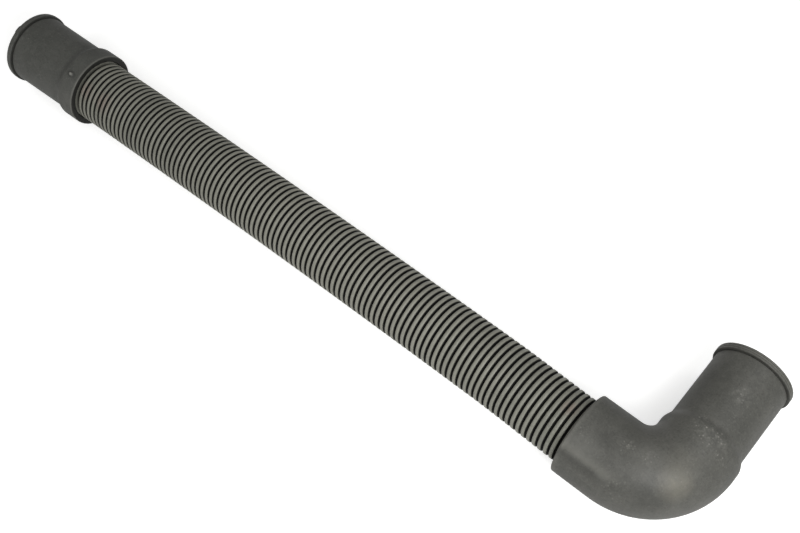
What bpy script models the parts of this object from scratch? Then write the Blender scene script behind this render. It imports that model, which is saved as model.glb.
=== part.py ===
"""Dishwasher drain hose: a corrugated plastic hose between a straight rubber cuff and a rubber elbow cuff.

The hose runs along +X from the straight cuff to the elbow, and the elbow's outlet points nearly along +Y.
The part lies on the plane Z = 0, with its origin under the middle of its bounding box. Sizes are in metres.
"""

import math

import bmesh
import bpy
from mathutils import Vector

# Corrugated hose
HOSE_RADIUS = 0.0170
HOSE_BORE_RADIUS = 0.0140
RIB_COUNT = 100
RIB_PITCH = 0.003186
FIRST_GROOVE_FROM_CUFF = 0.0013
LAST_GROOVE_TO_ELBOW = 0.0016
RIB_TOP_WIDTH = 0.0021
GROOVE_DEPTH = 0.0018
HOSE_PLAIN_END = 0.0160
HOSE_ARCH_RISE = 0.0031
HOSE_SIDE_SHIFT = 0.0009
HOSE_SIDE_SHIFT_LENGTH = 0.0500

# Fit of the hose's plain ends in the cuffs
FIT_GAP = 0.0003
STOP_RADIUS = 0.0150
STOP_LENGTH = 0.0025

# Straight cuff, named from the hose to the mouth
CUFF_COLLAR_RADIUS = 0.0205
CUFF_COLLAR_LENGTH = 0.0119
CUFF_SHOULDER_LENGTH = 0.0051
CUFF_BODY_RADIUS = 0.0190
CUFF_BODY_LENGTH = 0.0338
CUFF_LIP_RADIUS = 0.0201
CUFF_LIP_LENGTH = 0.0038
CUFF_SPIGOT_RADIUS = 0.0160

# Elbow cuff, named from the hose to the mouth
ELBOW_SLEEVE_RADIUS = 0.0210
ELBOW_SLEEVE_LENGTH = 0.0208
ELBOW_BEND_RADIUS = 0.0255
ELBOW_BEND_ANGLE = math.radians(91)
ELBOW_WALL = 0.0040
ELBOW_HEEL_LENGTH = 0.0045
ELBOW_SHOULDER_LENGTH = 0.0050
ELBOW_OUTLET_RADIUS = 0.0192
ELBOW_OUTLET_LENGTH = 0.0376
ELBOW_LIP_RADIUS = 0.0205
ELBOW_LIP_LENGTH = 0.0040
ELBOW_SPIGOT_RADIUS = 0.0160

# Rounded outer edges of both cuffs
EDGE_RADIUS = 0.0010

# Fineness of the solids
HOSE_SIDES = 16
RUBBER_SIDES = 32
BEND_STEPS = 9
EDGE_STEPS = 2
BORE_STEPS = 16
CUT_OVERRUN = 0.0010
SMOOTH_ANGLE = math.radians(35)

# Sizes that follow
VISIBLE_LENGTH = FIRST_GROOVE_FROM_CUFF + RIB_COUNT * RIB_PITCH + LAST_GROOVE_TO_ELBOW
END_SLOPE = 4 * HOSE_ARCH_RISE / VISIBLE_LENGTH
SOCKET_RADIUS = HOSE_RADIUS + FIT_GAP
SOCKET_DEPTH = HOSE_PLAIN_END + FIT_GAP
CUFF_LENGTH = CUFF_COLLAR_LENGTH + CUFF_SHOULDER_LENGTH + CUFF_BODY_LENGTH + CUFF_LIP_LENGTH
ELBOW_BEND_LENGTH = ELBOW_BEND_RADIUS * ELBOW_BEND_ANGLE
ELBOW_TAIL_LENGTH = ELBOW_HEEL_LENGTH + ELBOW_SHOULDER_LENGTH + ELBOW_OUTLET_LENGTH + ELBOW_LIP_LENGTH
ELBOW_LENGTH = ELBOW_SLEEVE_LENGTH + ELBOW_BEND_LENGTH + ELBOW_TAIL_LENGTH


def clear_scene():
    """Remove whatever the file opens with."""
    for item in list(bpy.data.objects):
        bpy.data.objects.remove(item, do_unlink=True)


def make_collection(name):
    """Add an empty collection to the scene."""
    collection = bpy.data.collections.new(name)
    bpy.context.scene.collection.children.link(collection)
    return collection


def make_material(name, color, roughness):
    """A plain Principled material."""
    material = bpy.data.materials.new(name)
    material.use_nodes = True
    shader = material.node_tree.nodes["Principled BSDF"]
    shader.inputs["Base Color"].default_value = (*color, 1.0)
    shader.inputs["Roughness"].default_value = roughness
    shader.inputs["Metallic"].default_value = 0.0
    material.diffuse_color = (*color, 1.0)
    return material


def hose_line(distance):
    """The point of the hose's centre line that lies a distance along X from its middle.

    Between the cuffs it is a shallow arch that eases a little to -Y just before the elbow, and past each
    cuff's face it runs straight on.
    """
    end = VISIBLE_LENGTH / 2
    inside = max(-end, min(end, distance))
    drop = HOSE_ARCH_RISE * (inside / end) ** 2
    drop += END_SLOPE * abs(distance - inside)
    eased = max(0.0, 1 - (end - inside) / HOSE_SIDE_SHIFT_LENGTH)
    side = HOSE_SIDE_SHIFT * eased * eased * (3 - 2 * eased)
    return Vector((distance, -side, -drop))


def edge_turns():
    """Even angles through a rounded edge's quarter circle."""
    return [math.pi / 2 * step / EDGE_STEPS for step in range(EDGE_STEPS + 1)]


def opening_edge(place, radius):
    """Stations of the rounded edge between a face at a place on the axis and the cylinder after it."""
    return [
        (place + EDGE_RADIUS * (1 - math.cos(turn)), radius - EDGE_RADIUS * (1 - math.sin(turn)))
        for turn in edge_turns()
    ]


def closing_edge(place, radius):
    """Stations of the rounded edge between a cylinder and the face that ends it."""
    return [
        (place - EDGE_RADIUS * (1 - math.sin(turn)), radius - EDGE_RADIUS * (1 - math.cos(turn)))
        for turn in edge_turns()
    ]


def cuff_outside():
    """Stations (distance from the hose-side face, radius) along the straight cuff's outer surface."""
    shoulder = CUFF_COLLAR_LENGTH
    body = shoulder + CUFF_SHOULDER_LENGTH
    lip = body + CUFF_BODY_LENGTH
    return [
        *opening_edge(0, CUFF_COLLAR_RADIUS),
        (shoulder, CUFF_COLLAR_RADIUS),
        (body, CUFF_BODY_RADIUS),
        (lip, CUFF_BODY_RADIUS),
        (lip, CUFF_LIP_RADIUS),
        *closing_edge(CUFF_LENGTH, CUFF_LIP_RADIUS),
    ]


def cuff_inside():
    """Stations along the straight cuff's inner surface: hose socket, stop and spigot socket."""
    stop_end = SOCKET_DEPTH + STOP_LENGTH
    return [
        (0, SOCKET_RADIUS),
        (SOCKET_DEPTH, SOCKET_RADIUS),
        (SOCKET_DEPTH, STOP_RADIUS),
        (stop_end, STOP_RADIUS),
        (stop_end, CUFF_SPIGOT_RADIUS),
        (CUFF_LENGTH, CUFF_SPIGOT_RADIUS),
    ]


def elbow_outside():
    """Stations (distance along the elbow's axis, radius) along its outer surface."""
    shoulder = ELBOW_SLEEVE_LENGTH + ELBOW_BEND_LENGTH + ELBOW_HEEL_LENGTH
    outlet = shoulder + ELBOW_SHOULDER_LENGTH
    lip = outlet + ELBOW_OUTLET_LENGTH
    return [
        *opening_edge(0, ELBOW_SLEEVE_RADIUS),
        *bend_stations(ELBOW_SLEEVE_RADIUS),
        (shoulder, ELBOW_SLEEVE_RADIUS),
        (outlet, ELBOW_OUTLET_RADIUS),
        (lip, ELBOW_OUTLET_RADIUS),
        (lip, ELBOW_LIP_RADIUS),
        *closing_edge(ELBOW_LENGTH, ELBOW_LIP_RADIUS),
    ]


def elbow_inside():
    """Stations along the elbow's inner surface, run past both of its ends for a clean cut."""
    passage_radius = ELBOW_SLEEVE_RADIUS - ELBOW_WALL
    stop_end = SOCKET_DEPTH + STOP_LENGTH
    shoulder = ELBOW_SLEEVE_LENGTH + ELBOW_BEND_LENGTH + ELBOW_HEEL_LENGTH
    return [
        (-CUT_OVERRUN, SOCKET_RADIUS),
        (SOCKET_DEPTH, SOCKET_RADIUS),
        (SOCKET_DEPTH, STOP_RADIUS),
        (stop_end, STOP_RADIUS),
        (stop_end, passage_radius),
        *bend_stations(passage_radius),
        (shoulder, passage_radius),
        (shoulder + ELBOW_SHOULDER_LENGTH, ELBOW_SPIGOT_RADIUS),
        (ELBOW_LENGTH + CUT_OVERRUN, ELBOW_SPIGOT_RADIUS),
    ]


def bend_stations(radius):
    """Even stations through the elbow's bend."""
    step = ELBOW_BEND_LENGTH / BEND_STEPS
    return [(ELBOW_SLEEVE_LENGTH + step * index, radius) for index in range(BEND_STEPS + 1)]


def elbow_line(distance):
    """The point of the elbow's axis a distance from its hose-side face, in the elbow's own frame.

    The axis leaves the face along +X, turns through the bend and runs on straight, nearly along +Y.
    """
    if distance <= ELBOW_SLEEVE_LENGTH:
        return Vector((distance, 0, 0))
    turn = min((distance - ELBOW_SLEEVE_LENGTH) / ELBOW_BEND_RADIUS, ELBOW_BEND_ANGLE)
    past = max(0.0, distance - ELBOW_SLEEVE_LENGTH - ELBOW_BEND_LENGTH)
    x = ELBOW_SLEEVE_LENGTH + ELBOW_BEND_RADIUS * math.sin(turn) + past * math.cos(turn)
    y = ELBOW_BEND_RADIUS * (1 - math.cos(turn)) + past * math.sin(turn)
    return Vector((x, y, 0))


def hose_outside():
    """Stations (distance from the middle, radius) along the hose: plain end, ribs, plain end."""
    reach = VISIBLE_LENGTH / 2 + HOSE_PLAIN_END
    first_groove = -VISIBLE_LENGTH / 2 + FIRST_GROOVE_FROM_CUFF
    last_groove = first_groove + RIB_COUNT * RIB_PITCH
    half_groove = (RIB_PITCH - RIB_TOP_WIDTH) / 2
    floor_radius = HOSE_RADIUS - GROOVE_DEPTH
    stations = [(-reach, HOSE_RADIUS), (first_groove - half_groove, HOSE_RADIUS)]
    for rib in range(RIB_COUNT):
        groove = first_groove + rib * RIB_PITCH
        stations.append((groove, floor_radius))
        stations.append((groove + half_groove, HOSE_RADIUS))
        stations.append((groove + half_groove + RIB_TOP_WIDTH, HOSE_RADIUS))
    stations.append((last_groove, floor_radius))
    stations.append((last_groove + half_groove, HOSE_RADIUS))
    stations.append((reach, HOSE_RADIUS))
    return stations


def hose_inside():
    """Stations along the hose's bore, run past both of its ends for a clean cut."""
    reach = VISIBLE_LENGTH / 2 + HOSE_PLAIN_END + CUT_OVERRUN
    arch = [
        (VISIBLE_LENGTH * (step / BORE_STEPS - 0.5), HOSE_BORE_RADIUS) for step in range(BORE_STEPS + 1)
    ]
    return [(-reach, HOSE_BORE_RADIUS), *arch, (reach, HOSE_BORE_RADIUS)]


def swept_mesh(name, stations, line, sides):
    """A closed round solid along a line, whose radius follows its stations.

    Two stations at one place make a step square to the line. A curve needs them a little apart, so the
    second one lies a hundredth of a millimetre further on.
    """
    step = 0.00001
    curve = bpy.data.curves.new(name, "CURVE")
    curve.dimensions = "3D"
    curve.twist_mode = "Z_UP"
    curve.bevel_depth = 1.0
    curve.bevel_resolution = sides // 2 - 2
    curve.use_fill_caps = True
    spline = curve.splines.new("POLY")
    places = []
    for place, radius in stations:
        if places and place - places[-1][0] < step:
            place = places[-1][0] + step
        places.append((place, radius))
    spline.points.add(len(places) - 1)
    for point, (place, radius) in zip(spline.points, places):
        point.co = (*line(place), 1.0)
        point.radius = radius
    guide = bpy.data.objects.new(name, curve)
    bpy.context.scene.collection.objects.link(guide)
    bpy.context.view_layer.update()
    mesh = bpy.data.meshes.new_from_object(guide.evaluated_get(bpy.context.evaluated_depsgraph_get()))
    bpy.data.objects.remove(guide, do_unlink=True)
    bpy.data.curves.remove(curve)
    shape = bmesh.new()
    shape.from_mesh(mesh)
    bmesh.ops.remove_doubles(shape, verts=shape.verts, dist=0.000001)
    bmesh.ops.recalc_face_normals(shape, faces=shape.faces)
    shape.to_mesh(mesh)
    shape.free()
    mesh.name = name
    return mesh


def add_piece(name, mesh, material, collection, parent):
    """Put a sub-part's mesh in the scene, smooth apart from its real edges."""
    mesh.materials.clear()
    mesh.materials.append(material)
    mesh.shade_smooth()
    mesh.set_sharp_from_angle(angle=SMOOTH_ANGLE)
    piece = bpy.data.objects.new(name, mesh)
    piece.parent = parent
    collection.objects.link(piece)
    return piece


def cut_bore(piece, mesh, cutters):
    """Cut a bore that lies in the piece's own frame."""
    cutter = bpy.data.objects.new(piece.name + "_bore", mesh)
    cutter.parent = piece
    cutter.hide_render = True
    cutter.display_type = "WIRE"
    cutters.objects.link(cutter)
    cut = piece.modifiers.new("bore", "BOOLEAN")
    cut.operation = "DIFFERENCE"
    cut.solver = "EXACT"
    cut.object = cutter


def make_hose(material, collection, cutters, parent):
    """The corrugated hose, arched between its cuffs, with a plain end for each socket."""
    outer = swept_mesh("corrugated_hose", hose_outside(), hose_line, HOSE_SIDES)
    bore = swept_mesh("corrugated_hose_bore", hose_inside(), hose_line, HOSE_SIDES)
    hose = add_piece("corrugated_hose", outer, material, collection, parent)
    cut_bore(hose, bore, cutters)
    return hose


def make_straight_cuff(material, collection, parent):
    """The straight cuff, turned about the hose's axis at the arch's -X end."""
    outline = [*cuff_outside()[::-1], *cuff_inside()]
    mesh = bpy.data.meshes.new("straight_cuff")
    points = [(radius, 0, place) for place, radius in outline]
    edges = [(index, (index + 1) % len(points)) for index in range(len(points))]
    mesh.from_pydata(points, edges, [])
    cuff = add_piece("straight_cuff", mesh, material, collection, parent)
    turn = cuff.modifiers.new("turn", "SCREW")
    turn.axis = "Z"
    turn.steps = RUBBER_SIDES
    turn.render_steps = RUBBER_SIDES
    turn.use_merge_vertices = True
    turn.merge_threshold = 0.000001
    cuff.location = hose_line(-VISIBLE_LENGTH / 2)
    cuff.rotation_euler = (0, -math.pi / 2 - math.atan(END_SLOPE), 0)
    return cuff


def outlet_droop():
    """The small slope of the elbow's outlet that lets its lip and its heel both touch the floor."""
    reach = ELBOW_SHOULDER_LENGTH + ELBOW_OUTLET_LENGTH + ELBOW_LIP_LENGTH
    return math.atan((ELBOW_SLEEVE_RADIUS - ELBOW_LIP_RADIUS) / reach)


def make_elbow_cuff(material, collection, cutters, parent):
    """The elbow cuff, on the arch's +X end."""
    outer = swept_mesh("elbow_cuff", elbow_outside(), elbow_line, RUBBER_SIDES)
    bore = swept_mesh("elbow_cuff_bore", elbow_inside(), elbow_line, RUBBER_SIDES)
    elbow = add_piece("elbow_cuff", outer, material, collection, parent)
    cut_bore(elbow, bore, cutters)
    elbow.location = hose_line(VISIBLE_LENGTH / 2)
    elbow.rotation_euler = (-outlet_droop(), math.atan(END_SLOPE), 0)
    return elbow


def seat_angle():
    """The small turn about Y that lets the straight cuff's lip and the elbow's heel both touch the floor."""
    heel = elbow_line(ELBOW_SLEEVE_LENGTH + ELBOW_BEND_LENGTH + ELBOW_HEEL_LENGTH)
    cuff_depth = END_SLOPE * CUFF_LENGTH + CUFF_LIP_RADIUS
    elbow_depth = END_SLOPE * heel.x + math.tan(outlet_droop()) * heel.y + ELBOW_SLEEVE_RADIUS
    return math.atan((cuff_depth - elbow_depth) / (CUFF_LENGTH + VISIBLE_LENGTH + heel.x))


def lay_on_floor(laid_part, pieces):
    """Move the whole part so that the middle of its bounding box's underside is at the origin."""
    bpy.context.view_layer.update()
    graph = bpy.context.evaluated_depsgraph_get()
    corners = []
    for piece in pieces:
        shown = piece.evaluated_get(graph)
        corners += [shown.matrix_world @ vertex.co for vertex in shown.to_mesh().vertices]
        shown.to_mesh_clear()
    low = [min(corner[axis] for corner in corners) for axis in range(3)]
    high = [max(corner[axis] for corner in corners) for axis in range(3)]
    laid_part.location -= Vector(((low[0] + high[0]) / 2, (low[1] + high[1]) / 2, low[2]))


def main():
    clear_scene()
    collection = make_collection("dishwasher_drain_hose")
    cutters = make_collection("cutters")
    hose_plastic = make_material("hose_plastic", (0.23, 0.23, 0.20), 0.45)
    cuff_rubber = make_material("cuff_rubber", (0.075, 0.075, 0.068), 0.60)
    elbow_rubber = make_material("elbow_rubber", (0.13, 0.13, 0.12), 0.60)
    laid_part = bpy.data.objects.new("laid_part", None)
    collection.objects.link(laid_part)
    pieces = [
        make_hose(hose_plastic, collection, cutters, laid_part),
        make_straight_cuff(cuff_rubber, collection, laid_part),
        make_elbow_cuff(elbow_rubber, collection, cutters, laid_part),
    ]
    laid_part.rotation_euler = (0, seat_angle(), 0)
    lay_on_floor(laid_part, pieces)
    bpy.context.view_layer.update()


main()
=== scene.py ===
"""Looks of the dishwasher drain hose: ribbed plastic hose, straight rubber cuff and rubber elbow cuff.

Each piece is a closed grid: rings of points carried along a line, first down the outside and then back up
the bore. All sizes are in metres.
"""

import math

import bpy
import numpy as np
from mathutils import Matrix, Vector


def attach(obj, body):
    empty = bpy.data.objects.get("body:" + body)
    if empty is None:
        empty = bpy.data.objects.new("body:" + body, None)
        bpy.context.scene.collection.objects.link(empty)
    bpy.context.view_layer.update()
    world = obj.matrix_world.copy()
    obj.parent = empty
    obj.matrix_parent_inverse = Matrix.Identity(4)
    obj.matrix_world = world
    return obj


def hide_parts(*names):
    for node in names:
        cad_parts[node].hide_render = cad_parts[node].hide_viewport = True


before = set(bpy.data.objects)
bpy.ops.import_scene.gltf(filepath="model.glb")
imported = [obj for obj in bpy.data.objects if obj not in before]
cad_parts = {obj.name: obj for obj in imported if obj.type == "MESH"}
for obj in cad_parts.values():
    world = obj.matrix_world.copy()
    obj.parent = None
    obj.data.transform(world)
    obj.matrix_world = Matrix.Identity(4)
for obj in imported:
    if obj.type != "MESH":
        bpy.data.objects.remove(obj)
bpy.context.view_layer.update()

# Hose between the cuffs
HOSE_RADIUS = 0.0170
HOSE_BORE_RADIUS = 0.0140
HOSE_BORE_WAVE = 0.0004
RIB_COUNT = 100
RIB_PITCH = 0.003186
FIRST_GROOVE_FROM_CUFF = 0.0013
LAST_GROOVE_TO_ELBOW = 0.0016
GROOVE_FLOOR_RADIUS = 0.0149
HOSE_PLAIN_END = 0.0160
ARCH_RISE = 0.0031
SIDE_SHIFT = 0.0009
SIDE_SHIFT_LENGTH = 0.0500
HOSE_LENGTH = FIRST_GROOVE_FROM_CUFF + RIB_COUNT * RIB_PITCH + LAST_GROOVE_TO_ELBOW
END_SLOPE = 4 * ARCH_RISE / HOSE_LENGTH

# Fit in the cuffs
SOCKET_RADIUS = 0.0173
SOCKET_DEPTH = 0.0163
STOP_RADIUS = 0.0150
STOP_LENGTH = 0.0025
SPIGOT_RADIUS = 0.0160

# A cuff's outer surface lies past this radius, and its bore within it
OUTSIDE_RADIUS = SOCKET_RADIUS + 0.0010

# Straight cuff, from the hose to the mouth
COLLAR_RADIUS = 0.0205
COLLAR_LENGTH = 0.0119
CUFF_SHOULDER_LENGTH = 0.0051
CUFF_BODY_RADIUS = 0.0190
CUFF_BODY_LENGTH = 0.0338
CUFF_LIP_RADIUS = 0.0201
CUFF_LIP_LENGTH = 0.0038
CUFF_LENGTH = COLLAR_LENGTH + CUFF_SHOULDER_LENGTH + CUFF_BODY_LENGTH + CUFF_LIP_LENGTH
CUFF_UNDERCUT_WIDTH = 0.0006
CUFF_UNDERCUT_DEPTH = 0.0007

# The same cuff's surface: where its shoulder starts and ends, and its body's radius
SHOULDER_START = 0.0104
SHOULDER_END = 0.0136
BODY_SURFACE = 0.0188

# Elbow cuff, from the hose to the mouth
SLEEVE_RADIUS = 0.0210
SLEEVE_LENGTH = 0.0208
BEND_RADIUS = 0.0255
BEND_ANGLE = math.radians(91)
ELBOW_WALL = 0.0040
HEEL_LENGTH = 0.0045
ELBOW_SHOULDER_LENGTH = 0.0050
OUTLET_RADIUS = 0.0192
OUTLET_LENGTH = 0.0382
ELBOW_LIP_RADIUS = 0.0205
ELBOW_LIP_LENGTH = 0.0034
ELBOW_UNDERCUT_WIDTH = 0.0003
ELBOW_UNDERCUT_DEPTH = 0.0005
BEND_LENGTH = BEND_RADIUS * BEND_ANGLE
TAIL_START = SLEEVE_LENGTH + BEND_LENGTH + HEEL_LENGTH
ELBOW_LENGTH = TAIL_START + ELBOW_SHOULDER_LENGTH + OUTLET_LENGTH + ELBOW_LIP_LENGTH

# Where the hose's first rib begins, and its reddish stains: centre and reach
FIRST_RIB_EDGE = FIRST_GROOVE_FROM_CUFF - HOSE_LENGTH / 2
HOSE_STAINS = (
    ((-0.1622, -0.0371, 0.0352), 0.006),
    ((-0.1490, -0.0376, 0.0358), 0.007),
    ((0.1484, -0.0277, 0.0401), 0.005),
)

# How the part lies: the middle of the hose, and the small turns that seat the lips and the heel
HOSE_MIDDLE = (-0.0059578, -0.0273166, 0.0257499)
SEAT_TURN = math.radians(-0.122558)
OUTLET_DROOP = math.atan((SLEEVE_RADIUS - ELBOW_LIP_RADIUS) / (ELBOW_LENGTH - TAIL_START))

# A moulded pip on the straight cuff's collar; its painted highlight on top and painted shadow ring lie
# nearer to the hose
PIP_PLACE = 0.0063
PIP_TURN = math.radians(116.8)
PIP_RADIUS = 0.0010
PIP_SHARE_ALONG = 0.6
PIP_HEIGHT = 0.0010
PIP_SHADE_SHIFT = 0.0003

# A raised tab on the straight cuff's lip
TAB_TURNS = (math.radians(102), math.radians(111))
TAB_EDGE = math.radians(3)
TAB_HEIGHT = 0.0005

# A soft fold along the elbow's sleeve, and fine lines round the elbow's lip, placed from the lip's foot
FOLD_TURN = math.radians(310)
FOLD_HALF_WIDTH = math.radians(5.5)
FOLD_HEIGHT = 0.0003
FOLD_ENDS = (0.020, 0.029)
LIP_LINES = (0.0011, 0.0022)
LIP_LINE_HALF_WIDTH = 0.00025
LIP_LINE_DEPTH = 0.00025

# Colours of both rubbers, a painted highlight and painted shade among them
PAINTED_HIGHLIGHT = (0.160, 0.158, 0.138, 1)
SHADED_FOLD = (0.020, 0.020, 0.017, 1)
PAINTED_CREVICE_SHADE = (0.006, 0.006, 0.005, 1)
DUST_HAZE = (0.145, 0.143, 0.128, 1)
DUST_SPECK = (0.30, 0.29, 0.26, 1)
TAN_STAIN_AND_HIGHLIGHT = (0.182, 0.170, 0.134)
DUST_AND_HIGHLIGHT = (0.125, 0.124, 0.112)
PAINTED_SHADE = (0.030, 0.030, 0.026)
PIP_GLINT = (0.29, 0.285, 0.26)

# Colours of the hose's plastic
DARKEST_RIB = (0.148, 0.149, 0.124, 1)
LIGHTEST_RIB = (0.186, 0.186, 0.154, 1)
WORN_RIB = (0.225, 0.220, 0.186, 1)
CLEAN_RIB = (0.255, 0.250, 0.209, 1)
PALE_FLECK = (0.300, 0.295, 0.250, 1)
RED_STAIN = (0.168, 0.116, 0.096, 1)
PAINTED_GROOVE_SHADE = (0.003, 0.003, 0.002, 1)

# Specular level of all three pieces, which are matt
SPECULAR = 0.36

# The photograph's point of view: where it is taken from, its own axes and its lens
CAMERA_SPOT = (0.27927, -0.26057, 0.59811)
CAMERA_RIGHT = (0.76276, 0.64503, -0.04617)
CAMERA_AHEAD = (-0.36492, 0.37039, -0.85419)
CAMERA_LENS = 61.22

# Soft lights: name, place, size of the square and power, all aimed at one point
LIGHTS_AIM = (0.12, 0.0, 0.0)
LIGHTS = (
    ("overhead_softbox", (0.30, -0.15, 1.05), 0.9, 1.4),
    ("key_softbox", (0.65, -0.35, 0.60), 0.4, 5.5),
    ("left_softbox", (-0.20, -0.80, 0.60), 0.5, 2.2),
    ("back_softbox", (0.50, 0.50, 0.80), 0.5, 1.7),
)

# Strength of the room's own light, and the floor's half width and its glow to the camera
ROOM_LIGHT = 0.30
FLOOR_HALF_WIDTH = 4.0
FLOOR_GLOW = 0.54

# Fineness of the grids: points round each ring, and the longest step along the rubber's profiles
HOSE_SIDES = 72
RUBBER_SIDES = 240
CUFF_STEP = 0.0008
ELBOW_STEP = 0.0009


# Lines


def smooth_step(value, low, high):
    """0 below low, 1 above high, and 3 t^2 - 2 t^3 between them."""
    share = np.clip((value - low) / (high - low), 0, 1)
    return share * share * (3 - 2 * share)


def hose_line(along):
    """Hose's centre line: z falls with the square of x, and the ends run on straight.

    Just before the elbow y eases aside by a smooth step of x.
    """
    end = HOSE_LENGTH / 2
    inside = np.clip(along, -end, end)
    drop = ARCH_RISE * (inside / end) ** 2 + END_SLOPE * np.abs(along - inside)
    aside = SIDE_SHIFT * smooth_step(inside, end - SIDE_SHIFT_LENGTH, end)
    return np.stack([along, -aside, -drop], axis=-1)


def straight_line(along):
    """Straight cuff's axis: x is the distance from its hose-side face."""
    return np.stack([along, np.zeros_like(along), np.zeros_like(along)], axis=-1)


def elbow_line(along):
    """Elbow's axis: straight along x, an arc of the bend's angle towards y, then straight on."""
    turn = np.clip((along - SLEEVE_LENGTH) / BEND_RADIUS, 0, BEND_ANGLE)
    before = np.minimum(along, SLEEVE_LENGTH)
    past = np.maximum(0, along - SLEEVE_LENGTH - BEND_LENGTH)
    x = before + BEND_RADIUS * np.sin(turn) + past * np.cos(turn)
    y = BEND_RADIUS * (1 - np.cos(turn)) + past * np.sin(turn)
    return np.stack([x, y, np.zeros_like(along)], axis=-1)


LAID = Matrix.Translation(HOSE_MIDDLE) @ Matrix.Rotation(SEAT_TURN, 4, "Y")
HOSE_START = Vector((-HOSE_LENGTH / 2, 0, -ARCH_RISE))
HOSE_END = Vector((HOSE_LENGTH / 2, -SIDE_SHIFT, -ARCH_RISE))
CUFF_PLACE = (
    LAID
    @ Matrix.Translation(HOSE_START)
    @ Matrix.Rotation(math.pi - math.atan(END_SLOPE), 4, "Y")
)
ELBOW_PLACE = (
    LAID
    @ Matrix.Translation(HOSE_END)
    @ Matrix.Rotation(math.atan(END_SLOPE), 4, "Y")
    @ Matrix.Rotation(-OUTLET_DROOP, 4, "X")
)


# Profiles


def rounded(corners, steps=5):
    """A profile through corners (place, radius, rounding, own steps): each becomes a short quadratic curve.

    The curve leaves the two sides at the rounding's distance from the corner, and t runs from 0 to 1:
    (1 - t)^2 before + 2 t (1 - t) corner + t^2 after.
    """
    count = len(corners)
    spots = np.array([corner[:2] for corner in corners], float)
    out = []
    for index, (_, _, rounding, *own_steps) in enumerate(corners):
        spot = spots[index]
        towards = []
        for other in (spots[index - 1], spots[(index + 1) % count]):
            gap = other - spot
            length = np.linalg.norm(gap)
            towards.append(spot + gap / length * min(rounding, 0.48 * length))
        t = np.linspace(0, 1, own_steps[0] if own_steps else steps)[:, None]
        out.append((1 - t) ** 2 * towards[0] + 2 * t * (1 - t) * spot + t**2 * towards[1])
    return np.concatenate(out)


def filled(profile, longest):
    """The closed profile with each side split evenly, so that no step is longer than asked."""
    following = np.roll(profile, -1, axis=0)
    counts = np.maximum(1, np.ceil(np.linalg.norm(following - profile, axis=1) / longest)).astype(int)
    start = np.repeat(profile, counts, axis=0)
    step = np.repeat(following - profile, counts, axis=0)
    first = np.repeat(np.cumsum(counts) - counts, counts)
    share = (np.arange(counts.sum()) - first) / np.repeat(counts, counts)
    return start + step * share[:, None]


def hose_profile():
    """Hose: plain end, dark neck, ribs with rounded crowns and deep narrow grooves, plain end, waved bore.

    Returned are the profile and, for each of its points, how deep in a groove it lies, from 0 to 1, for the
    painted shade in the grooves.
    """
    # One wall of a groove: distance from the groove's middle, and how far down the wall
    away = np.array([0.0, 0.00038, 0.00050, 0.00062, 0.00085])
    down = np.array([1.0, 0.94, 0.50, 0.16, 0.025])
    across = np.concatenate([away, [RIB_PITCH / 2], RIB_PITCH - away[:0:-1]])
    depth = HOSE_RADIUS - GROOVE_FLOOR_RADIUS
    face = HOSE_LENGTH / 2
    end = face + HOSE_PLAIN_END
    first = -face + FIRST_GROOVE_FROM_CUFF
    last = face - LAST_GROOVE_TO_ELBOW
    # The plain ends have a small chamfer. The neck, darkened with painted shade, runs from just inside the
    # cuff to the first groove
    chamfer, chamfer_down = 0.0006, 0.25
    neck_start, neck = 0.0010, 0.0004
    places = np.concatenate([
        [-end, -end + chamfer, -face - neck_start, -face - neck],
        (first + RIB_PITCH * np.arange(RIB_COUNT)[:, None] + across).ravel(),
        last + away,
        [end - chamfer, end],
    ])
    downs = np.concatenate([
        [chamfer_down, 0.0, 0.0, 1.0],
        np.tile(np.concatenate([down, [0.0], down[:0:-1]]), RIB_COUNT),
        down,
        [0.0, chamfer_down],
    ])
    outside = np.stack([places, HOSE_RADIUS - depth * downs], axis=1)
    waves = np.linspace(face, -face, 2 * RIB_COUNT + 1)
    lift = HOSE_BORE_WAVE * (np.arange(len(waves)) % 2)
    bore = np.stack([waves, HOSE_BORE_RADIUS + lift], axis=1)
    ends = np.array([[end, HOSE_BORE_RADIUS], [-end, HOSE_BORE_RADIUS]])
    profile = np.concatenate([outside, ends[:1], bore, ends[1:]])
    groove = np.concatenate([downs, np.zeros(len(bore) + 2)])
    # The neck's point gets painted shade, as if partway down a groove
    neck_point, neck_shade = 3, 0.18
    groove[neck_point] = neck_shade
    return profile, groove


def cuff_profile():
    """Straight cuff: collar, shoulder, body, a lip with a narrow undercut at its foot, then the bore."""
    body = COLLAR_LENGTH + CUFF_SHOULDER_LENGTH
    foot = body + CUFF_BODY_LENGTH
    undercut = foot - CUFF_UNDERCUT_WIDTH
    undercut_radius = CUFF_BODY_RADIUS - CUFF_UNDERCUT_DEPTH
    stop = SOCKET_DEPTH
    corners = [
        (0, COLLAR_RADIUS, 0.0005),
        (PIP_PLACE, COLLAR_RADIUS, 0.0018, 13),
        (SHOULDER_START, COLLAR_RADIUS, 0.0010),
        (SHOULDER_END, BODY_SURFACE, 0.0013),
        (body, BODY_SURFACE, 0.0008),
        (undercut - 0.0002, CUFF_BODY_RADIUS, 0.0002),
        (undercut, undercut_radius, 0.0001),
        (foot, undercut_radius, 0.0001),
        (foot, CUFF_LIP_RADIUS, 0.0004),
        (CUFF_LENGTH, CUFF_LIP_RADIUS, 0.0019, 8),
        (CUFF_LENGTH, SPIGOT_RADIUS, 0.0008),
        (stop + STOP_LENGTH, SPIGOT_RADIUS, 0.0003),
        (stop + STOP_LENGTH, STOP_RADIUS, 0.0003),
        (stop, STOP_RADIUS, 0.0003),
        (stop, SOCKET_RADIUS, 0.0002),
        (0, SOCKET_RADIUS, 0.0003),
    ]
    return filled(rounded(corners), CUFF_STEP)


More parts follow.
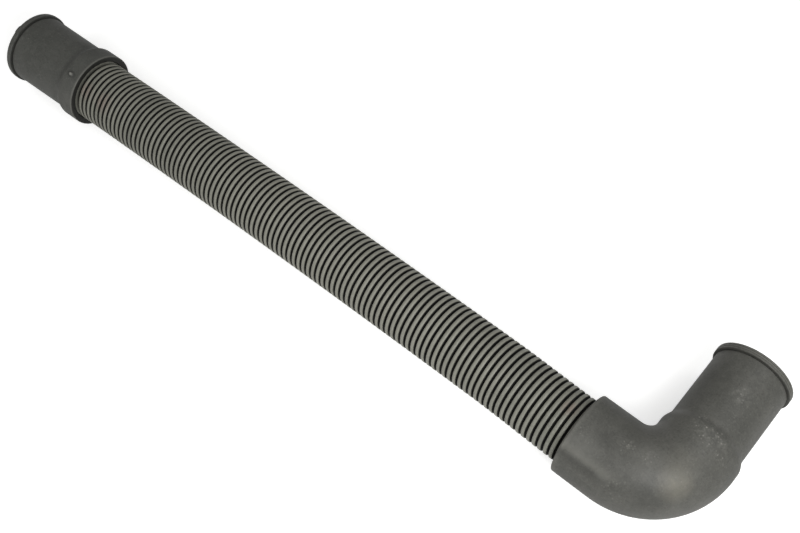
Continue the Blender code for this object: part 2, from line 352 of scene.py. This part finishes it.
def elbow_profile():
    """Elbow cuff: sleeve, bend, heel, shoulder, outlet, a lip with a narrow undercut, then the bore."""
    outlet = TAIL_START + ELBOW_SHOULDER_LENGTH
    foot = outlet + OUTLET_LENGTH
    undercut = foot - ELBOW_UNDERCUT_WIDTH
    undercut_radius = OUTLET_RADIUS - ELBOW_UNDERCUT_DEPTH
    line_sides = ((-LIP_LINE_HALF_WIDTH, 0), (0, LIP_LINE_DEPTH), (LIP_LINE_HALF_WIDTH, 0))
    stop = SOCKET_DEPTH
    passage = SLEEVE_RADIUS - ELBOW_WALL
    corners = [
        (0, SLEEVE_RADIUS, 0.0009),
        (TAIL_START, SLEEVE_RADIUS, 0.0012),
        (outlet - 0.0008, OUTLET_RADIUS, 0.0010),
        (undercut - 0.0002, OUTLET_RADIUS, 0.0002),
        (undercut, undercut_radius, 0.0001),
        (foot, undercut_radius, 0.0001),
        (foot, ELBOW_LIP_RADIUS, 0.0003),
        *[
            (foot + line + shift, ELBOW_LIP_RADIUS - sink, 0.00005)
            for line in LIP_LINES
            for shift, sink in line_sides
        ],
        (ELBOW_LENGTH, ELBOW_LIP_RADIUS, 0.0012),
        (ELBOW_LENGTH, SPIGOT_RADIUS, 0.0008),
        (outlet, SPIGOT_RADIUS, 0.0010),
        (TAIL_START, passage, 0.0010),
        (stop + STOP_LENGTH, passage, 0.0003),
        (stop + STOP_LENGTH, STOP_RADIUS, 0.0003),
        (stop, STOP_RADIUS, 0.0003),
        (stop, SOCKET_RADIUS, 0.0002),
        (0, SOCKET_RADIUS, 0.0004),
    ]
    return filled(rounded(corners), ELBOW_STEP)


def crevice_shade_near(profile, place, reach):
    """How close each profile point is to a crevice on the outside, for its painted shade: 1 at the place, 0
    at its reach.
    """
    outside = profile[:, 1] > SOCKET_RADIUS
    return outside * np.clip(1 - np.abs(profile[:, 0] - place) / reach, 0, 1)


def pip_distance(places, turns):
    """Distance from the pip's middle over the collar, in pip radii; the pip is longer along the collar."""
    along = (places - PIP_PLACE) * PIP_SHARE_ALONG
    return np.hypot(along, (turns - PIP_TURN) * COLLAR_RADIUS) / PIP_RADIUS


def cuff_marks(places, radii, turns):
    """Added radius: a rounded pip, high by the cosine of its distance, and a tab on part of the lip."""
    pip = PIP_HEIGHT * np.cos(np.clip(pip_distance(places, turns), 0, 1) * math.pi / 2)
    low, high = TAB_TURNS
    tab = smooth_step(turns, low - TAB_EDGE, low) * (1 - smooth_step(turns, high, high + TAB_EDGE))
    past_foot = places > CUFF_LENGTH - CUFF_LIP_LENGTH + 0.0002
    return (radii > OUTSIDE_RADIUS) * (pip + TAB_HEIGHT * tab * past_foot)


def fold_wave(places, turns):
    """The sleeve's fold: x e^((1 - x^2) / 2) across it, which is 1 on its ridge and -1 in its hollow.

    It fades out by a smooth step of the place, and is gone at the bend.
    """
    across = (turns - FOLD_TURN) / FOLD_HALF_WIDTH
    return across * np.exp((1 - across**2) / 2) * (1 - smooth_step(places, *FOLD_ENDS))


def elbow_marks(places, radii, turns):
    """Added radius: a soft fold along one side of the sleeve."""
    return (radii > OUTSIDE_RADIUS) * FOLD_HEIGHT * fold_wave(places, turns)


# Grids


def ring_turns(sides):
    """The turn of each point of a ring: even steps through the circle."""
    return np.arange(sides) / sides * 2 * math.pi


def carried(profile, line, flat, sides, marks=None):
    """Rings square to a line: line + radius (cos turn across + sin turn (across x tangent)).

    Across is the flat direction, made square to the line. Marks, if there are any, give a length to add to
    the radius at each place and turn.
    """
    places, radii = profile[:, 0], profile[:, 1]
    middle = line(places)
    tangent = line(places + 1e-5) - line(places - 1e-5)
    tangent /= np.linalg.norm(tangent, axis=1, keepdims=True)
    across = flat - tangent * (tangent @ np.array(flat, float))[:, None]
    across /= np.linalg.norm(across, axis=1, keepdims=True)
    level = np.cross(across, tangent)
    turn = ring_turns(sides)
    ring = np.cos(turn)[None, :, None] * across[:, None, :]
    ring = ring + np.sin(turn)[None, :, None] * level[:, None, :]
    radii = np.repeat(radii[:, None], sides, axis=1)
    if marks is not None:
        radii = radii + marks(places[:, None], radii, turn[None, :])
    return middle[:, None, :] + radii[:, :, None] * ring


def closed_grid(name, points, place, profile):
    """A mesh from rings that close both ways, with faces outward and a UV map of place and turn."""
    rings, sides = points.shape[:2]
    i = np.arange(rings)[:, None]
    j = np.arange(sides)[None, :]
    following = (i + 1) % rings
    quads = np.stack(np.broadcast_arrays(
        i * sides + j,
        i * sides + (j + 1) % sides,
        following * sides + (j + 1) % sides,
        following * sides + j,
    ), axis=-1).reshape(-1, 4)
    along = np.stack(np.broadcast_arrays(i, i, following, following), axis=-1) + 0 * j[..., None]
    around = np.stack(np.broadcast_arrays(j, j + 1, j + 1, j), axis=-1) + 0 * i[..., None]
    uv = np.stack([profile[along, 0], around / sides], axis=-1).reshape(-1, 4, 2)
    flat_points = points.reshape(-1, 3)
    corner = flat_points[quads]
    volume = np.einsum("ij,ij->", corner[:, 0], np.cross(corner[:, 1], corner[:, 2]))
    volume += np.einsum("ij,ij->", corner[:, 0], np.cross(corner[:, 2], corner[:, 3]))
    if volume < 0:
        quads = quads[:, ::-1]
        uv = uv[:, ::-1]
    turned = np.array(place)
    flat_points = flat_points @ turned[:3, :3].T + turned[:3, 3]
    mesh = bpy.data.meshes.new(name)
    mesh.from_pydata(flat_points.tolist(), [], quads.tolist())
    layer = mesh.uv_layers.new(name="place_turn")
    layer.data.foreach_set("uv", np.ascontiguousarray(uv).astype(np.float32).ravel())
    mesh.shade_smooth()
    mesh.set_sharp_from_angle(angle=math.radians(50))
    piece = bpy.data.objects.new(name, mesh)
    bpy.context.scene.collection.objects.link(piece)
    return piece


def add_measure(piece, name, values):
    """A number for each point, for the piece's material."""
    layer = piece.data.attributes.new(name, "FLOAT", "POINT")
    layer.data.foreach_set("value", values.astype(np.float32).ravel())


# Materials


class Finish:
    """A material with its Principled shader, and short ways to add and join nodes."""

    def __init__(self, name):
        self.material = bpy.data.materials.new(name)
        self.material.use_nodes = True
        self.tree = self.material.node_tree
        self.shader = self.tree.nodes["Principled BSDF"]

    def node(self, kind, links=(), **settings):
        made = self.tree.nodes.new(kind)
        for key, value in settings.items():
            setattr(made, key, value)
        for socket, source in dict(links).items():
            if isinstance(source, bpy.types.NodeSocket):
                self.tree.links.new(source, made.inputs[socket])
            else:
                made.inputs[socket].default_value = source
        return made

    def noise(self, coordinates, scale, detail=2.0, rough=0.5):
        made = self.node("ShaderNodeTexNoise", {
            "Vector": coordinates, "Scale": scale, "Detail": detail, "Roughness": rough,
        })
        return made.outputs["Fac"]

    def spread(self, value, low, high, to_low=0.0, to_high=1.0):
        made = self.node("ShaderNodeMapRange", {
            "Value": value, "From Min": low, "From Max": high, "To Min": to_low, "To Max": to_high,
        })
        return made.outputs["Result"]

    def distance(self, coordinates, centre):
        made = self.node("ShaderNodeVectorMath", {0: coordinates, 1: centre}, operation="DISTANCE")
        return made.outputs["Value"]

    def math(self, kind, first, second):
        made = self.node("ShaderNodeMath", {0: first, 1: second}, operation=kind)
        return made.outputs[0]

    def blended(self, share, first, second):
        made = self.node("ShaderNodeMix", data_type="RGBA", blend_type="MIX")
        for socket, source in (("Factor_Float", share), ("A_Color", first), ("B_Color", second)):
            target = next(s for s in made.inputs if s.identifier == socket)
            if isinstance(source, bpy.types.NodeSocket):
                self.tree.links.new(source, target)
            else:
                target.default_value = source
        return next(s for s in made.outputs if s.identifier == "Result_Color")

    def connect(self, source, socket):
        self.tree.links.new(source, self.shader.inputs[socket])

    def bump(self, height, strength, distance, under=None):
        links = {"Height": height, "Strength": strength, "Distance": distance}
        if under is not None:
            links["Normal"] = under
        return self.node("ShaderNodeBump", links).outputs["Normal"]


def rubber(name, dark, light, patches=(), dusty=()):
    """Moulded rubber: cloudy shades, fine mottling, matt grain, light dust, painted highlights and painted
    shade, also in crevices.

    Patches are (centre, reach, share, colour): a stain, painted highlight or painted shade that fades out
    from the centre. Dusty spots
    are (centre, reach): there the specks of dust are close together.
    """
    finish = Finish(name)
    spot = finish.node("ShaderNodeTexCoord").outputs["Object"]
    clouds = finish.noise(spot, 45, 5, 0.6)
    base = finish.blended(finish.spread(clouds, 0.34, 0.68), (*dark, 1), (*light, 1))
    mottles = ((260, 0.45, 0.72, 0.32, 1.35), (900, 0.50, 0.72, 0.38, 1.45))
    for scale, low, high, share, brighter in mottles:
        fine = finish.spread(finish.noise(spot, scale, 3, 0.6), low, high, 0, share)
        base = finish.blended(fine, base, (*[brighter * c for c in light], 1))
    pores = finish.spread(finish.noise(spot, 1100, 2, 0.6), 0.46, 0.34, 0, 0.35)
    base = finish.blended(pores, base, (*[0.55 * c for c in dark], 1))
    for centre, reach, share, colour in patches:
        patch_falloff = finish.spread(finish.distance(spot, centre), reach, 0.15 * reach)
        patchy = finish.spread(finish.noise(spot, 160, 4, 0.65), 0.25, 0.65, 0.4 * share, share)
        base = finish.blended(finish.math("MULTIPLY", patch_falloff, patchy), base, (*colour, 1))
    # The shade measure: painted highlight where it is positive, painted shade in the fold's hollow where it
    # is negative
    shade = finish.node("ShaderNodeAttribute", attribute_name="shade").outputs["Fac"]
    base = finish.blended(finish.spread(shade, 0, 1), base, PAINTED_HIGHLIGHT)
    base = finish.blended(finish.spread(shade, 0, -1), base, SHADED_FOLD)
    cells = finish.node("ShaderNodeTexVoronoi", {"Vector": spot, "Scale": 750.0})
    pick = finish.node("ShaderNodeSeparateColor", {0: cells.outputs["Color"]}).outputs[0]
    dots = finish.spread(cells.outputs["Distance"], 0.42, 0.12)
    specks = finish.math("MULTIPLY", dots, finish.spread(pick, 0.50, 0.95, 0, 0.75))
    near = finish.spread(finish.noise(spot, 75, 3, 0.5), 0.52, 0.66, 0.02, 0.25)
    for centre, reach in dusty:
        close = finish.spread(finish.distance(spot, centre), reach, 0.3 * reach)
        near = finish.math("MAXIMUM", near, close)
    haze = finish.spread(finish.noise(spot, 420, 3, 0.7), 0.48, 0.66, 0, 0.55)
    base = finish.blended(finish.math("MULTIPLY", haze, near), base, DUST_HAZE)
    base = finish.blended(finish.math("MULTIPLY", specks, near), base, DUST_SPECK)
    # Painted shade in the crevices
    crevice = finish.node("ShaderNodeAttribute", attribute_name="crevice").outputs["Fac"]
    base = finish.blended(crevice, base, PAINTED_CREVICE_SHADE)
    finish.connect(base, "Base Color")
    finish.connect(finish.spread(clouds, 0.3, 0.7, 0.58, 0.47), "Roughness")
    grain = finish.noise(spot, 2400, 2, 0.6)
    soft = finish.bump(clouds, 0.25, 0.0006)
    finish.connect(finish.bump(grain, 0.18, 0.0001, soft), "Normal")
    finish.shader.inputs["Specular IOR Level"].default_value = SPECULAR
    return finish


def ribbed_plastic(name):
    """Ribbed plastic: each rib a little lighter or darker than the next, with painted shade in the grooves.
    """
    finish = Finish(name)
    spot = finish.node("ShaderNodeTexCoord").outputs["Object"]
    place_turn = finish.node("ShaderNodeUVMap", uv_map="place_turn").outputs[0]
    place = finish.node("ShaderNodeSeparateXYZ", {0: place_turn}).outputs["X"]
    ribs_before = finish.math("DIVIDE", finish.math("SUBTRACT", place, FIRST_RIB_EDGE), RIB_PITCH)
    rib = finish.math("FLOOR", ribs_before, 0.0)
    shade = finish.node("ShaderNodeTexWhiteNoise", {"W": rib}, noise_dimensions="1D").outputs["Value"]
    base = finish.blended(shade, DARKEST_RIB, LIGHTEST_RIB)
    wear = finish.spread(finish.noise(spot, 70, 4, 0.6), 0.4, 0.72)
    base = finish.blended(finish.math("MULTIPLY", wear, 0.45), base, WORN_RIB)
    from_clean_middle = finish.math("ABSOLUTE", finish.math("SUBTRACT", place, 0.020), 0.0)
    clean = finish.spread(from_clean_middle, 0.130, 0.050, 0, 0.45)
    base = finish.blended(clean, base, CLEAN_RIB)
    flecks = finish.spread(finish.noise(spot, 800, 3, 0.65), 0.50, 0.70, 0, 0.35)
    base = finish.blended(flecks, base, PALE_FLECK)
    for centre, reach in HOSE_STAINS:
        stain = finish.spread(finish.distance(spot, centre), reach, 0.3 * reach, 0, 0.45)
        base = finish.blended(stain, base, RED_STAIN)
    groove = finish.node("ShaderNodeAttribute", attribute_name="groove").outputs["Fac"]
    # Painted shade in the grooves and the neck; the same mask makes them rougher
    groove_shade = finish.spread(groove, 0.02, 0.22)
    base = finish.blended(groove_shade, base, PAINTED_GROOVE_SHADE)
    finish.connect(base, "Base Color")
    finish.connect(finish.spread(groove_shade, 0, 1, 0.45, 0.9), "Roughness")
    grain = finish.noise(spot, 1800, 2, 0.6)
    finish.connect(finish.bump(grain, 0.15, 0.0001), "Normal")
    finish.shader.inputs["Specular IOR Level"].default_value = SPECULAR
    return finish


# Camera, floor and light


def set_camera():
    """The photograph's point of view: up is right x ahead, and right is then ahead x up."""
    right = Vector(CAMERA_RIGHT)
    ahead = Vector(CAMERA_AHEAD).normalized()
    up = right.cross(ahead).normalized()
    right = ahead.cross(up)
    lens = bpy.data.cameras.new("camera")
    lens.sensor_width = 36.0
    lens.lens = CAMERA_LENS
    camera = bpy.data.objects.new("camera", lens)
    turn = Matrix((right, up, -ahead)).transposed().to_4x4()
    camera.matrix_world = Matrix.Translation(CAMERA_SPOT) @ turn
    lens.clip_start = 0.01
    lens.clip_end = 20.0
    bpy.context.scene.collection.objects.link(camera)
    bpy.context.scene.camera = camera


def area_light(name, spot, size, power):
    """A square soft light that faces the part."""
    light = bpy.data.lights.new(name, "AREA")
    light.shape = "SQUARE"
    light.size = size
    light.energy = power
    lamp = bpy.data.objects.new(name, light)
    lamp.location = spot
    lamp.rotation_euler = (Vector(LIGHTS_AIM) - Vector(spot)).to_track_quat("-Z", "Y").to_euler()
    bpy.context.scene.collection.objects.link(lamp)


def set_surroundings():
    """Pale floor and room, white to the camera but for the part's soft shadow, and the soft lights."""
    world = bpy.data.worlds.new("studio")
    bpy.context.scene.world = world
    world.use_nodes = True
    tree = world.node_tree
    tree.nodes.clear()
    rays = tree.nodes.new("ShaderNodeLightPath")
    room = tree.nodes.new("ShaderNodeBackground")
    room.inputs["Color"].default_value = (1, 1, 1, 1)
    room.inputs["Strength"].default_value = ROOM_LIGHT
    white = tree.nodes.new("ShaderNodeBackground")
    white.inputs["Color"].default_value = (1, 1, 1, 1)
    white.inputs["Strength"].default_value = 1.0
    choose = tree.nodes.new("ShaderNodeMixShader")
    out = tree.nodes.new("ShaderNodeOutputWorld")
    tree.links.new(rays.outputs["Is Camera Ray"], choose.inputs[0])
    tree.links.new(room.outputs[0], choose.inputs[1])
    tree.links.new(white.outputs[0], choose.inputs[2])
    tree.links.new(choose.outputs[0], out.inputs["Surface"])

    half = FLOOR_HALF_WIDTH
    corners = [(-half, -half, 0), (half, -half, 0), (half, half, 0), (-half, half, 0)]
    mesh = bpy.data.meshes.new("floor")
    mesh.from_pydata(corners, [], [(0, 1, 2, 3)])
    floor = bpy.data.objects.new("floor", mesh)
    bpy.context.scene.collection.objects.link(floor)
    finish = Finish("pale_floor")
    finish.shader.inputs["Base Color"].default_value = (0.80, 0.80, 0.79, 1)
    finish.shader.inputs["Roughness"].default_value = 0.9
    finish.shader.inputs["Specular IOR Level"].default_value = 0.0
    finish.shader.inputs["Emission Color"].default_value = (1, 1, 1, 1)
    seen = finish.node("ShaderNodeLightPath").outputs["Is Camera Ray"]
    finish.connect(finish.math("MULTIPLY", seen, FLOOR_GLOW), "Emission Strength")
    mesh.materials.append(finish.material)

    for name, spot, size, power in LIGHTS:
        area_light(name, spot, size, power)


# Pieces


def make_hose():
    """The ribbed hose, on its arch between the cuffs."""
    profile, groove = hose_profile()
    hose = closed_grid("ribbed_hose", carried(profile, hose_line, (0, 1, 0), HOSE_SIDES), LAID, profile)
    add_measure(hose, "groove", np.repeat(groove, HOSE_SIDES))
    hose.data.materials.append(ribbed_plastic("hose_plastic").material)
    return hose


def make_straight_cuff():
    """The straight cuff, turned about its axis."""
    profile = cuff_profile()
    points = carried(profile, straight_line, (0, 1, 0), RUBBER_SIDES, cuff_marks)
    cuff = closed_grid("straight_rubber_cuff", points, CUFF_PLACE, profile)
    places, radii = profile[:, 0], profile[:, 1]
    outside = (radii > OUTSIDE_RADIUS)[:, None]
    # Painted shade: in the undercut at the lip's foot, on the face round the hose inside its rim, and a
    # painted shadow ring round the pip
    foot_line = crevice_shade_near(profile, CUFF_LENGTH - CUFF_LIP_LENGTH - CUFF_UNDERCUT_WIDTH / 2, 0.0007)
    inside_rim = smooth_step(COLLAR_RADIUS - radii, 0.0001, 0.0006)
    hose_face = 0.85 * (places < 0.0006) * inside_rim
    near_pip = pip_distance(places[:, None] + PIP_SHADE_SHIFT, ring_turns(RUBBER_SIDES)[None, :])
    pip_shadow_ring = 0.45 * smooth_step(near_pip, 0.6, 1.1) * (1 - smooth_step(near_pip, 1.2, 2.2)) * outside
    add_measure(cuff, "crevice", np.clip(np.maximum(foot_line, hose_face)[:, None] + pip_shadow_ring, 0, 0.95))
    # Painted highlight: on the rim, by e^-(distance / 0.5 mm)^2, and on the pip's top
    rim = 0.4 * np.exp(-(np.hypot(places - 0.0004, radii - COLLAR_RADIUS) / 0.0005) ** 2)
    pip_glint_share = 0.2 * (1 - smooth_step(near_pip, 0.5, 1.0)) * outside
    add_measure(cuff, "shade", rim[:, None] + pip_glint_share)
    top = COLLAR_RADIUS + PIP_HEIGHT
    pip_spot = CUFF_PLACE @ Vector((PIP_PLACE, top * math.cos(PIP_TURN), -top * math.sin(PIP_TURN)))
    patches = [
        ((-0.1700, -0.0446, 0.0300), 0.012, 0.35, DUST_AND_HIGHLIGHT),
        # The pip's painted glint
        (tuple(pip_spot), 0.0014, 1.0, PIP_GLINT),
    ]
    finish = rubber("cuff_rubber", (0.050, 0.051, 0.045), (0.066, 0.067, 0.060), patches)
    cuff.data.materials.append(finish.material)
    return cuff


def make_elbow():
    """The elbow cuff, swept round its bend."""
    profile = elbow_profile()
    points = carried(profile, elbow_line, (0, 0, 1), RUBBER_SIDES, elbow_marks)
    elbow = closed_grid("rubber_elbow", points, ELBOW_PLACE, profile)
    places, radii = profile[:, 0], profile[:, 1]
    outside = radii > OUTSIDE_RADIUS
    # Painted shade: in the undercut at the lip's foot, and in the lines round the lip
    foot = ELBOW_LENGTH - ELBOW_LIP_LENGTH
    foot_line = crevice_shade_near(profile, foot - 0.00025, 0.0004)
    lip_lines = 0.80 * sum(crevice_shade_near(profile, foot + line, 0.0002) for line in LIP_LINES)
    add_measure(elbow, "crevice", np.repeat(foot_line + lip_lines, RUBBER_SIDES))
    # Painted highlight on the sleeve's rim, the lip and the fold's ridge; painted shade in the fold's hollow
    rim = 0.22 * outside * (1 - smooth_step(places, 0.0012, 0.0026))
    lip = 0.35 * outside * smooth_step(places, foot + 0.0002, foot + 0.0006)
    fold = 0.35 * fold_wave(places[:, None], ring_turns(RUBBER_SIDES)[None, :]) * outside[:, None]
    add_measure(elbow, "shade", (rim + lip)[:, None] + fold)
    patches = [
        # A tan stain on the bend, with a painted highlight on and above it
        ((0.2056, -0.0278, 0.0376), 0.010, 0.58, TAN_STAIN_AND_HIGHLIGHT),
        ((0.2030, -0.0196, 0.0410), 0.011, 0.22, TAN_STAIN_AND_HIGHLIGHT),
        # Painted highlights on the sleeve's side and along the top's highlight line, where dust specks also
        # lie
        ((0.1655, -0.0401, 0.0400), 0.010, 0.50, DUST_AND_HIGHLIGHT),
        ((0.1895, -0.0271, 0.0424), 0.009, 0.38, DUST_AND_HIGHLIGHT),
        # Painted shade on the sleeve's top
        ((0.1705, -0.0316, 0.0427), 0.007, 0.38, PAINTED_SHADE),
        ((0.1785, -0.0231, 0.0430), 0.008, 0.28, PAINTED_SHADE),
        # A painted highlight at the fold's end
        ((0.1783, -0.0446, 0.0350), 0.005, 0.50, DUST_AND_HIGHLIGHT),
        # Painted shade below the bend's highlight, in the inner throat and on the outlet's inner half
        ((0.2000, -0.0391, 0.0325), 0.012, 0.48, PAINTED_SHADE),
        ((0.1770, -0.0134, 0.0371), 0.012, 0.30, PAINTED_SHADE),
        ((0.1924, 0.0273, 0.0377), 0.012, 0.30, PAINTED_SHADE),
    ]
    dusty = [
        ((0.2024, 0.0004, 0.0419), 0.0090),
        ((0.2088, -0.0006, 0.0404), 0.0070),
        ((0.2126, -0.0045, 0.0384), 0.0050),
        ((0.1962, 0.0047, 0.0403), 0.0040),
        ((0.2036, 0.0254, 0.0396), 0.0060),
        ((0.1811, -0.0279, 0.0430), 0.0050),
        ((0.1900, -0.0263, 0.0425), 0.0050),
    ]
    finish = rubber("elbow_rubber", (0.060, 0.060, 0.053), (0.080, 0.079, 0.070), patches, dusty)
    elbow.data.materials.append(finish.material)
    return elbow


bpy.context.scene.view_settings.view_transform = "Standard"
set_camera()
set_surroundings()

hose = make_hose()
straight_cuff = make_straight_cuff()
elbow = make_elbow()
for piece, node, slot in (
    (hose, "corrugated_hose", "hose_plastic"),
    (straight_cuff, "straight_cuff", "cuff_rubber"),
    (elbow, "elbow_cuff", "elbow_rubber"),
):
    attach(piece, "root")
    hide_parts(node)

hose_end = HOSE_LENGTH / 2 + HOSE_PLAIN_END
centres = hose_line(np.linspace(-hose_end, hose_end, 111))
laid = np.array(LAID)
centres = centres @ laid[:3, :3].T + laid[:3, 3]
